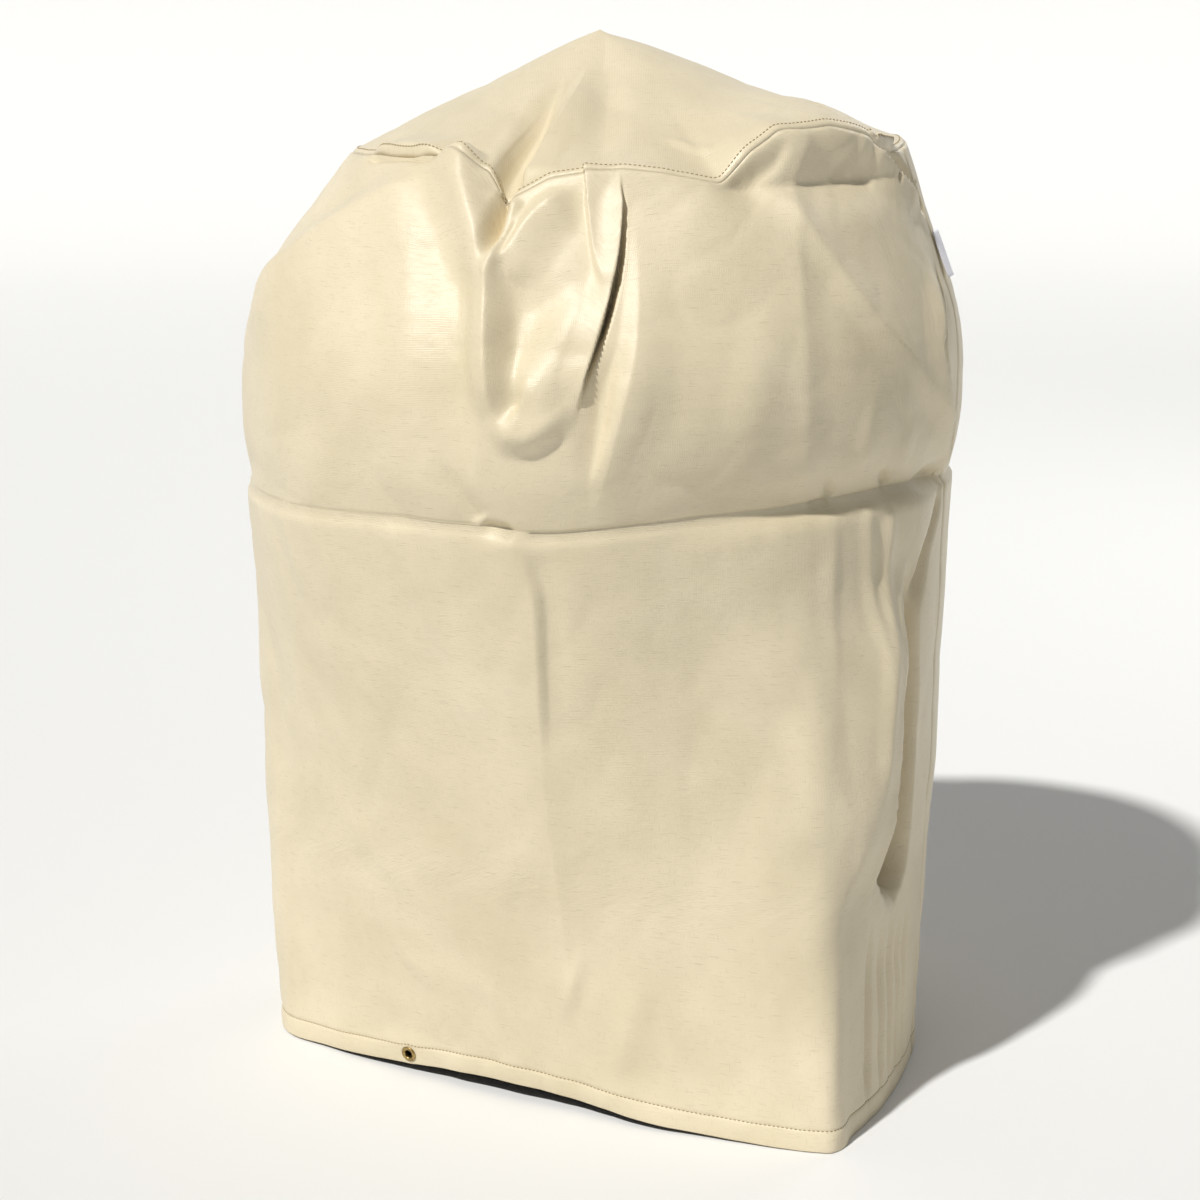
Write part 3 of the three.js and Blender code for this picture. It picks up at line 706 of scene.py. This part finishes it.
def sheet(name, grid, materials, thickness=CLOTH, ring=False, holes=(), lengths=None):
    """A closed sheet from a grid of outer points: the outer face, the inner face a thickness below,
    and the edges between them. Holes are (row, column) faces left out."""
    rows, columns = grid.shape[:2]
    normal = grid_normals(grid)
    if ring:
        close_ends(normal)
    inner = grid - normal * thickness
    lengths = cloth_lengths(grid) if lengths is None else lengths
    wide = columns - 1 if ring else columns
    outer_points, inner_points, cloth = grid[:, :wide], inner[:, :wide], lengths[:, :wide]
    vertices = np.concatenate([outer_points.reshape(-1, 3), inner_points.reshape(-1, 3)])
    cloth = np.concatenate([cloth.reshape(-1, 3)] * 2)
    below = rows * wide
    left_out = set(holes)
    faces, indices = [], []
    edges = {}
    for i in range(rows - 1):
        for j in range(columns - 1):
            if (i, j) in left_out:
                continue
            k = (j + 1) % wide
            a, b, c, d = i * wide + j, i * wide + k, (i + 1) * wide + k, (i + 1) * wide + j
            faces.append((a, b, c, d))
            indices.append(0)
            faces.append((a + below, d + below, c + below, b + below))
            indices.append(1)
            for p, q in ((a, b), (b, c), (c, d), (d, a)):
                if (q, p) in edges:
                    del edges[(q, p)]
                else:
                    edges[(p, q)] = True
    for p, q in edges:
        faces.append((q, p, p + below, q + below))
        indices.append(1)
    return mesh_object(name, vertices, faces, materials, indices, cloth)


# ---- Materials ----
def new_material(name):
    material = bpy.data.materials.new(name)
    material.use_nodes = True
    tree = material.node_tree
    shader = next(n for n in tree.nodes if n.type == "BSDF_PRINCIPLED")
    return material, tree, shader


def linear(red, green, blue):
    """A colour given as it looks on screen, 0 to 255, as the shader's linear one."""
    def channel(value):
        value /= 255
        return value / 12.92 if value <= 0.04045 else ((value + 0.055) / 1.055) ** 2.4
    return (channel(red), channel(green), channel(blue), 1)


def set_up(made, **values):
    """Sets a node's properties and inputs. An input's name has its spaces as underscores."""
    for key, value in values.items():
        if hasattr(made, key):
            setattr(made, key, value)
        else:
            made.inputs[key.replace("_", " ")].default_value = value
    return made


def node(tree, kind, **values):
    return set_up(tree.nodes.new(kind), **values)


def scaled(tree, source, scale):
    mapping = node(tree, "ShaderNodeMapping", Scale=scale)
    tree.links.new(source, mapping.inputs["Vector"])
    return mapping.outputs["Vector"]


def mix_colour(tree, factor, first, second):
    mix = node(tree, "ShaderNodeMix", data_type="RGBA")
    for socket, value in ((mix.inputs["Factor"], factor), (mix.inputs[6], first), (mix.inputs[7], second)):
        if hasattr(value, "links"):
            tree.links.new(value, socket)
        else:
            socket.default_value = value
    return mix.outputs[2]


def ramp(tree, source, stops):
    made = tree.nodes.new("ShaderNodeValToRGB")
    elements = made.color_ramp.elements
    while len(elements) < len(stops):
        elements.new(0.5)
    for element, (position, value) in zip(elements, stops):
        element.position = position
        element.color = (value, value, value, 1)
    tree.links.new(source, made.inputs["Fac"])
    return made.outputs["Color"]


def pattern(tree, kind, vector, **values):
    """A texture node fed with a vector."""
    made = node(tree, kind, **values)
    tree.links.new(vector, made.inputs["Vector"])
    return made.outputs["Fac"]


def relief(tree, height, strength, distance, under=None):
    """The normal of a bump, laid over another one if there is one."""
    made = node(tree, "ShaderNodeBump", Strength=strength, Distance=distance)
    tree.links.new(height, made.inputs["Height"])
    if under:
        tree.links.new(under, made.inputs["Normal"])
    return made.outputs["Normal"]


def varied_roughness(tree, shader, source, low, high):
    rough = node(tree, "ShaderNodeMapRange", To_Min=low, To_Max=high)
    tree.links.new(source, rough.inputs["Value"])
    tree.links.new(rough.outputs["Result"], shader.inputs["Roughness"])


def cloth_material(name, lit, dull, slub_depth, roughness, sheen):
    """Coated plain weave: a cream ground with slow blotches, slubs along the weft and fine threads."""
    material, tree, shader = new_material(name)
    place = node(tree, "ShaderNodeAttribute", attribute_name="cloth").outputs["Vector"]

    def noise_of(scale, detail, rough):
        spread = scaled(tree, place, scale)
        return pattern(tree, "ShaderNodeTexNoise", spread, Scale=1.0, Detail=detail, Roughness=rough)

    def threads_of(way):
        return pattern(tree, "ShaderNodeTexWave", place, bands_direction=way, Scale=190.0, Distortion=0.6,
                       Detail=1.0, Detail_Scale=0.4)

    blotch = noise_of((9, 7, 1), 3.0, 0.55)
    slub = noise_of((55, 900, 1), 2.0, 0.6)
    slub_up = noise_of((950, 90, 1), 1.0, 0.5)
    base = mix_colour(tree, ramp(tree, blotch, [(0.35, 0), (0.68, 1)]), dull, lit)
    dark = tuple(channel * 0.78 for channel in dull[:3]) + (1,)
    base = mix_colour(tree, ramp(tree, slub, [(0.60, 0), (0.74, slub_depth)]), base, dark)
    base = mix_colour(tree, ramp(tree, slub_up, [(0.62, 0), (0.78, slub_depth * 0.5)]), base, dark)
    tree.links.new(base, shader.inputs["Base Color"])
    woven = node(tree, "ShaderNodeMath", operation="ADD")
    tree.links.new(threads_of("Y"), woven.inputs[0])
    tree.links.new(threads_of("X"), woven.inputs[1])
    normal = relief(tree, woven.outputs["Value"], 0.25, 0.00025)
    normal = relief(tree, slub, 0.35, 0.0005, normal)
    normal = relief(tree, noise_of((38, 30, 1), 4.0, 0.6), 0.35, 0.0022, normal)
    tree.links.new(normal, shader.inputs["Normal"])
    varied_roughness(tree, shader, blotch, roughness - 0.07, roughness + 0.09)
    set_up(shader, Specular_IOR_Level=0.5, Sheen_Weight=sheen, Sheen_Roughness=0.5)
    return material


def fine_material(name, kind, low, high, depth, contrast=None, **values):
    """A material whose colour and relief follow one fine pattern, with that pattern."""
    material, tree, shader = new_material(name)
    place = node(tree, "ShaderNodeTexCoord").outputs["Object"]
    value = pattern(tree, kind, place, **values)
    tone = ramp(tree, value, contrast) if contrast else value
    tree.links.new(mix_colour(tree, tone, linear(*low), linear(*high)), shader.inputs["Base Color"])
    tree.links.new(relief(tree, value, depth, 0.0002), shader.inputs["Normal"])
    return material, tree, shader, value


def thread_material():
    material, _, shader, _ = fine_material(
        "sewing_thread", "ShaderNodeTexNoise", (140, 120, 84), (176, 158, 120), 0.5, Scale=900.0, Detail=2.0)
    set_up(shader, Roughness=0.6)
    return material


def brass_material():
    material, tree, shader, tarnish = fine_material(
        "aged_brass", "ShaderNodeTexNoise", (120, 98, 58), (196, 172, 116), 0.15, [(0.35, 0), (0.65, 1)],
        Scale=420.0, Detail=5.0, Roughness=0.65)
    set_up(shader, Metallic=1.0)
    varied_roughness(tree, shader, tarnish, 0.5, 0.28)
    return material


def satin_material():
    material, _, shader, _ = fine_material(
        "label_satin", "ShaderNodeTexWave", (226, 224, 238), (248, 247, 252), 0.3,
        bands_direction="Z", Scale=420.0, Distortion=0.3)
    set_up(shader, Roughness=0.42, Sheen_Weight=0.2)
    return material


OUTER = cloth_material("cover_cloth", linear(226, 213, 184), linear(216, 203, 172), 0.8, 0.40, 0.03)
INNER = cloth_material("cover_lining", linear(214, 204, 180), linear(200, 190, 166), 0.2, 0.75, 0.0)
TAPE = cloth_material("seam_tape", linear(222, 208, 172), linear(206, 192, 156), 0.7, 0.8, 0.0)
THREAD = thread_material()
BRASS = brass_material()
SATIN = satin_material()


# ---- Pieces ----
def hole_faces(first_column, last_column):
    """The faces left out of a wall for its grommet, one in each layer of the hem."""
    rows = [i for i, (low, high) in enumerate(zip(WALL_ROWS, WALL_ROWS[1:]))
            if low[0] == high[0] == "edge" and (low[1] - GROMMET_UP) * (high[1] - GROMMET_UP) < 0]
    columns = [int(np.argmin(np.abs(AZIMUTHS - (g.azimuth - g.half_angle)))) for g in GROMMETS]
    return [(i, j - first_column) for i in rows for j in columns if first_column <= j < last_column]


WALL_LENGTHS = cloth_lengths(WALL)


def wall_piece(name, first, last, node_name):
    grid = WALL[:, first:last + 1]
    piece = sheet(name, grid, [OUTER, INNER], holes=hole_faces(first, last),
                  lengths=WALL_LENGTHS[:, first:last + 1])
    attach(piece, "cover")
    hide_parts(node_name)
    return piece


front = wall_piece("front_wall_cloth", 0, SEAM_COLUMN, "front_wall")
back = wall_piece("back_wall_cloth", SEAM_COLUMN, len(AZIMUTHS) - 1, "back_wall")


def crown_piece():
    """The top panel is cut from the roll in one piece, so its weave runs straight across it."""
    piece = sheet("top_panel_cloth", CROWN, [OUTER, INNER], ring=True, lengths=CROWN * (1, 1, 0))
    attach(piece, "cover")
    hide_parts("top_panel")
    return piece


top = crown_piece()


# Binding tapes over the seam allowances inside, ribbed along their length
TAPE_WIDTH = 24 * MM
TAPE_THICKNESS = 0.8 * MM
TAPE_RIBS = 9
TAPE_LEAD = 2 * MM  # from the top seam to its tape


def tape_piece(name, line, across, inward, ring, node_name):
    """A tape that starts at a line of points on the cloth's inner face and lies across it."""
    rows = []
    for k in range(TAPE_RIBS):
        share = k / (TAPE_RIBS - 1)
        rib = 0.25 * MM * (k % 2)
        crown = 0.8 * MM * 4 * share * (1 - share)
        rows.append(line + across * (TAPE_WIDTH * share) + inward * (rib + crown + 0.4 * MM))
    piece = sheet(name, np.array(rows), [TAPE, TAPE], thickness=-TAPE_THICKNESS, ring=ring)
    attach(piece, "cover")
    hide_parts(node_name)
    return piece


WALL_INWARD = -close_ends(grid_normals(WALL))


def top_tape():
    """The tape round the top seam lies on the wall just below it."""
    rows = np.cumsum(np.linalg.norm(np.diff(WALL[::-1], axis=0), axis=2).mean(1))
    start = WALL.shape[0] - 2 - int(np.argmax(rows > TAPE_LEAD))
    end = WALL.shape[0] - 2 - int(np.argmax(rows > TAPE_LEAD + TAPE_WIDTH))
    inward = unit(WALL_INWARD[end:start].mean(0))
    line = WALL[start] + inward * (CLOTH + 1.6 * MM)
    across = unit(WALL[end] - WALL[start])
    return tape_piece("top_binding", line, across, inward, True, "top_seam_tape")


def side_tape(name, seam_column, node_name):
    """The tape down a side seam, from the top tape to above the hem."""
    first = FIRST_OUTER + len(HEM_ROWS) + 2
    last = WALL.shape[0] - 10
    columns = WALL.shape[1] - 1
    near = [WALL[first:last, (seam_column + k) % columns] for k in (-2, 0, 2)]
    across = unit(near[2] - near[0])
    inward = unit(WALL_INWARD[first:last, seam_column])
    line = near[1] - across * (TAPE_WIDTH / 2) + inward * (CLOTH + 1.2 * MM)
    return tape_piece(name, line, across, inward, False, node_name)


TAPES = {
    "front": side_tape("right_binding", SEAM_COLUMN, "right_seam_tape"),
    "back": side_tape("left_binding", 0, "left_seam_tape"),
    "top": top_tape(),
}

# Grommets and washers, turned about their own axes
RING_SIDES = 48


def turned(name, origin, axis, outline, node_name):
    """A ring turned about an axis from a closed outline of (radius, distance along the axis)."""
    across = Vector((0, 0, 1)).cross(axis).normalized()
    up = axis.cross(across)
    vertices, faces = [], []
    count = len(outline)
    for side in range(RING_SIDES):
        turn = 2 * math.pi * side / RING_SIDES
        spoke = across * math.cos(turn) + up * math.sin(turn)
        for k, (radius, along) in enumerate(outline):
            vertices.append(origin + spoke * radius + axis * along)
            a, b = side * count + k, side * count + (k + 1) % count
            c, d = (b + count) % (count * RING_SIDES), (a + count) % (count * RING_SIDES)
            faces.append((a, b, c, d))
    piece = mesh_object(name, vertices, faces, [BRASS])
    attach(piece, "cover")
    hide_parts(node_name)
    return piece


def arc(centre_radius, centre_along, radius, start, end, count=6):
    return [(centre_radius + radius * math.cos(a), centre_along + radius * math.sin(a))
            for a in np.radians(np.linspace(start, end, count))]


def grommet_pieces(grommet):
    """The grommet's rolled flange outside and its barrel through the hem, and the washer inside."""
    top, bottom = grommet.outside, grommet.inside
    roll = 1.1 * MM  # radius of the flange's rolled rim
    lip = 1.5 * MM  # radius of its inner edge
    wall = 0.5 * MM  # thickness of the barrel
    flange = [*arc(grommet.flange - roll, top - roll, roll, -80, 90),
              *arc(grommet.throat + lip, top - lip, lip, 90, 180)]
    barrel = [(grommet.throat, bottom), (grommet.throat + wall, bottom),
              (grommet.throat + wall, top - 2 * roll), (grommet.flange - roll, top - 2 * roll)]
    outer = turned("tie_" + grommet.node, grommet.centre, grommet.axis, flange + barrel, grommet.node)
    low, high, hole, rim = ring_sizes(grommet.washer, grommet.centre, grommet.axis)
    half = (high - low) / 2
    ring = [*arc(rim - half, low + half, half, 90, -90), *arc(hole + half, low + half, half, -90, -270)]
    inner = turned("tie_" + grommet.washer, grommet.centre, grommet.axis, ring, grommet.washer)
    return [outer, inner]


BRASS_PIECES = [grommet_pieces(grommet) for grommet in GROMMETS]

# Stitches, each a short thread half sunk in the cloth
STITCH_PITCH = 4.4 * MM
STITCH_LENGTH = 3.3 * MM
STITCH_RADIUS = 0.6 * MM
STITCH_SIDES = 6
# A stitch's rings along it: place from end to end, size, and rise out of the cloth
STITCH_RINGS = [
    (-1, 0.25, -0.7), (-0.8, 0.75, -0.1), (-0.3, 1, 0.25), (0.3, 1, 0.25), (0.8, 0.75, -0.1), (1, 0.25, -0.7),
]


def stitches(name, line, outward):
    """A row of stitches along a line of points, with the way out of the cloth at each."""
    travelled = travel(line)
    spots = np.arange(STITCH_PITCH, travelled[-1] - STITCH_PITCH, STITCH_PITCH)

    def at(places, values):
        return np.stack([np.interp(places, travelled, values[:, k]) for k in range(3)], 1)

    centre = at(spots, line)
    normal = unit(at(spots, outward))
    along = unit(at(spots + STITCH_LENGTH / 2, line) - centre)
    side = np.cross(along, normal)
    vertices, faces = [], []
    for k in range(len(spots)):
        first = len(vertices)
        for place, size, rise in STITCH_RINGS:
            middle = centre[k] + along[k] * (place * STITCH_LENGTH / 2) + normal[k] * (rise * STITCH_RADIUS)
            for turn in np.linspace(0, 2 * math.pi, STITCH_SIDES, endpoint=False):
                spoke = side[k] * math.cos(turn) + normal[k] * math.sin(turn)
                vertices.append(middle + spoke * (size * STITCH_RADIUS))
        faces.append([first + i for i in range(STITCH_SIDES)])
        last = len(vertices) - STITCH_SIDES
        for base in range(first, last, STITCH_SIDES):
            for i in range(STITCH_SIDES):
                j = (i + 1) % STITCH_SIDES
                faces.append((base + i, base + i + STITCH_SIDES, base + j + STITCH_SIDES, base + j))
        faces.append([last + i for i in range(STITCH_SIDES)][::-1])
    piece = mesh_object(name, vertices, faces, [THREAD])
    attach(piece, "cover")
    return piece


HEM_ROW = next(i for i in range(FIRST_OUTER, len(WALL_ROWS)) if WALL_ROWS[i][1] == HEM_STITCH)
SEAM_LEAD = 2  # mesh rows from the top seam to the stitching beside it
HEM_STITCHES = {
    "front": stitches("front_hem_stitches", WALL[HEM_ROW, :SEAM_COLUMN + 1],
                      -WALL_INWARD[HEM_ROW, :SEAM_COLUMN + 1]),
    "back": stitches("back_hem_stitches", WALL[HEM_ROW, SEAM_COLUMN:], -WALL_INWARD[HEM_ROW, SEAM_COLUMN:]),
}
TOP_STITCHES = stitches("top_seam_stitches", CROWN[SEAM_LEAD], close_ends(grid_normals(CROWN))[SEAM_LEAD])


# The care label: a loop of satin ribbon whose two ends are sewn into the side seam
LABEL_PLY = 0.24 * MM


def label_piece():
    """A blank folded label in the place of the CAD one."""
    vertices = [v.co.copy() for v in frame["nodes"]["care_label"].data.vertices]
    hinge = next(j for j in RECORD["behaviour"]["joints"] if j["name"] == "label_flap")
    start, up = Vector(hinge["pos_m"]), Vector(hinge["axis"]).normalized()
    heights = [(v - start).dot(up) for v in vertices]
    length = max(heights) - min(heights)
    middle = sum(vertices, Vector()) / len(vertices)
    out = middle - start - up * (middle - start).dot(up)
    width = out.length * 2
    out.normalize()
    face = up.cross(out)
    bend = 0.42 * MM  # half the gap between the ribbon's two halves where it turns
    path = [(width * t, bend * (0.5 + 0.5 * t)) for t in np.linspace(0.02, 0.96, 14)]
    turn = [(width * 0.975 + bend * math.cos(a), bend * math.sin(a))
            for a in np.radians([60, 30, 0, -30, -60])]
    path = path + turn + [(along, -off) for along, off in path[::-1]]
    rows = []
    for t in np.linspace(0, 1, 20):
        wave = 0.25 * MM * math.sin(5 * t + 0.6)
        row = []
        for along, off in path:
            reach = out * min(along, width * 0.985)
            row.append(start + up * (length * t) + reach + face * (off + wave * along / width))
        rows.append(row)
    piece = sheet("care_label_ribbon", np.array(rows), [SATIN, SATIN], thickness=LABEL_PLY)
    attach(piece, "label")
    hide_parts("care_label")
    return piece, 2 * width, length


LABEL, LABEL_FLAT_WIDTH, LABEL_FLAT_LENGTH = label_piece()

# ---- Floor, lights and camera ----
SWEEP_FRONT = -14.0  # where the floor starts, and where it turns up into the backdrop behind
SWEEP_BACK = 7.5
SWEEP_RADIUS = 3.0
SWEEP_TOP = 9.0
SWEEP_HALF = 16.0


def add_floor():
    """A pale floor that sweeps up into a backdrop behind the cover."""
    line = [(SWEEP_FRONT, 0.0), (SWEEP_BACK, 0.0)]
    for angle in np.radians(np.arange(7.5, 90, 7.5)):
        line.append((SWEEP_BACK + SWEEP_RADIUS * math.sin(angle), SWEEP_RADIUS * (1 - math.cos(angle))))
    line += [(SWEEP_BACK + SWEEP_RADIUS, SWEEP_RADIUS), (SWEEP_BACK + SWEEP_RADIUS, SWEEP_TOP)]
    vertices = [(x, y, z) for y, z in line for x in (-SWEEP_HALF, SWEEP_HALF)]
    faces = [(2 * k, 2 * k + 1, 2 * k + 3, 2 * k + 2) for k in range(len(line) - 1)]
    material, _, shader = new_material("floor_paint")
    set_up(shader, Base_Color=(0.76, 0.76, 0.755, 1), Roughness=0.9, Specular_IOR_Level=0.1)
    floor = mesh_object("floor", vertices, faces, [material])


def add_light(name, kind, power, colour, rotation, **values):
    data = bpy.data.lights.new(name, kind)
    data.energy = power
    data.color = colour
    for key, value in values.items():
        setattr(data, key, value)
    light = bpy.data.objects.new(name, data)
    light.rotation_mode = "QUATERNION"
    light.rotation_quaternion = rotation
    bpy.context.scene.collection.objects.link(light)
    return light


SUN_FROM = Vector((-0.41, -0.50, 0.77))
SUN_SPREAD = 2.5  # degrees
SUN_STRENGTH = 3.45
RIM_PLACE = Vector((2.2, 2.6, 2.6))
RIM_AIM = Vector((0, 0, 0.6))
RIM_POWER = 20
WORLD_STRENGTH = 0.19


def add_lights():
    """A sun from the upper left, and a soft light that picks out the far edge."""
    add_light("key", "SUN", SUN_STRENGTH, (1.0, 0.99, 0.965), SUN_FROM.to_track_quat("Z", "Y"),
              angle=math.radians(SUN_SPREAD))
    rim = add_light("rim", "AREA", RIM_POWER, (1.0, 0.99, 0.97),
                    (RIM_AIM - RIM_PLACE).to_track_quat("-Z", "Y"), shape="DISK", size=1.6)
    rim.location = RIM_PLACE


def add_world():
    world = bpy.data.worlds.new("studio")
    world.use_nodes = True
    background = world.node_tree.nodes["Background"]
    set_up(background, Color=(0.98, 0.99, 1.0, 1), Strength=WORLD_STRENGTH)
    bpy.context.scene.world = world


CAMERA_BACK = 2.6  # distance of the camera from the peak's axis
CAMERA_HEIGHT = 1.1
CAMERA_PITCH = 13.41  # degrees below the horizon
CAMERA_LENS = 75.84


def add_camera():
    data = bpy.data.cameras.new("camera")
    data.sensor_width = 36
    data.lens = CAMERA_LENS
    camera = bpy.data.objects.new("camera", data)
    camera.location = (AXIS[0], AXIS[1] - CAMERA_BACK, CAMERA_HEIGHT)
    camera.rotation_euler = (math.radians(90 - CAMERA_PITCH), 0, 0)
    bpy.context.scene.collection.objects.link(camera)
    bpy.context.scene.camera = camera


add_floor()
add_lights()
add_world()
add_camera()
bpy.context.scene.view_settings.view_transform = "Standard"
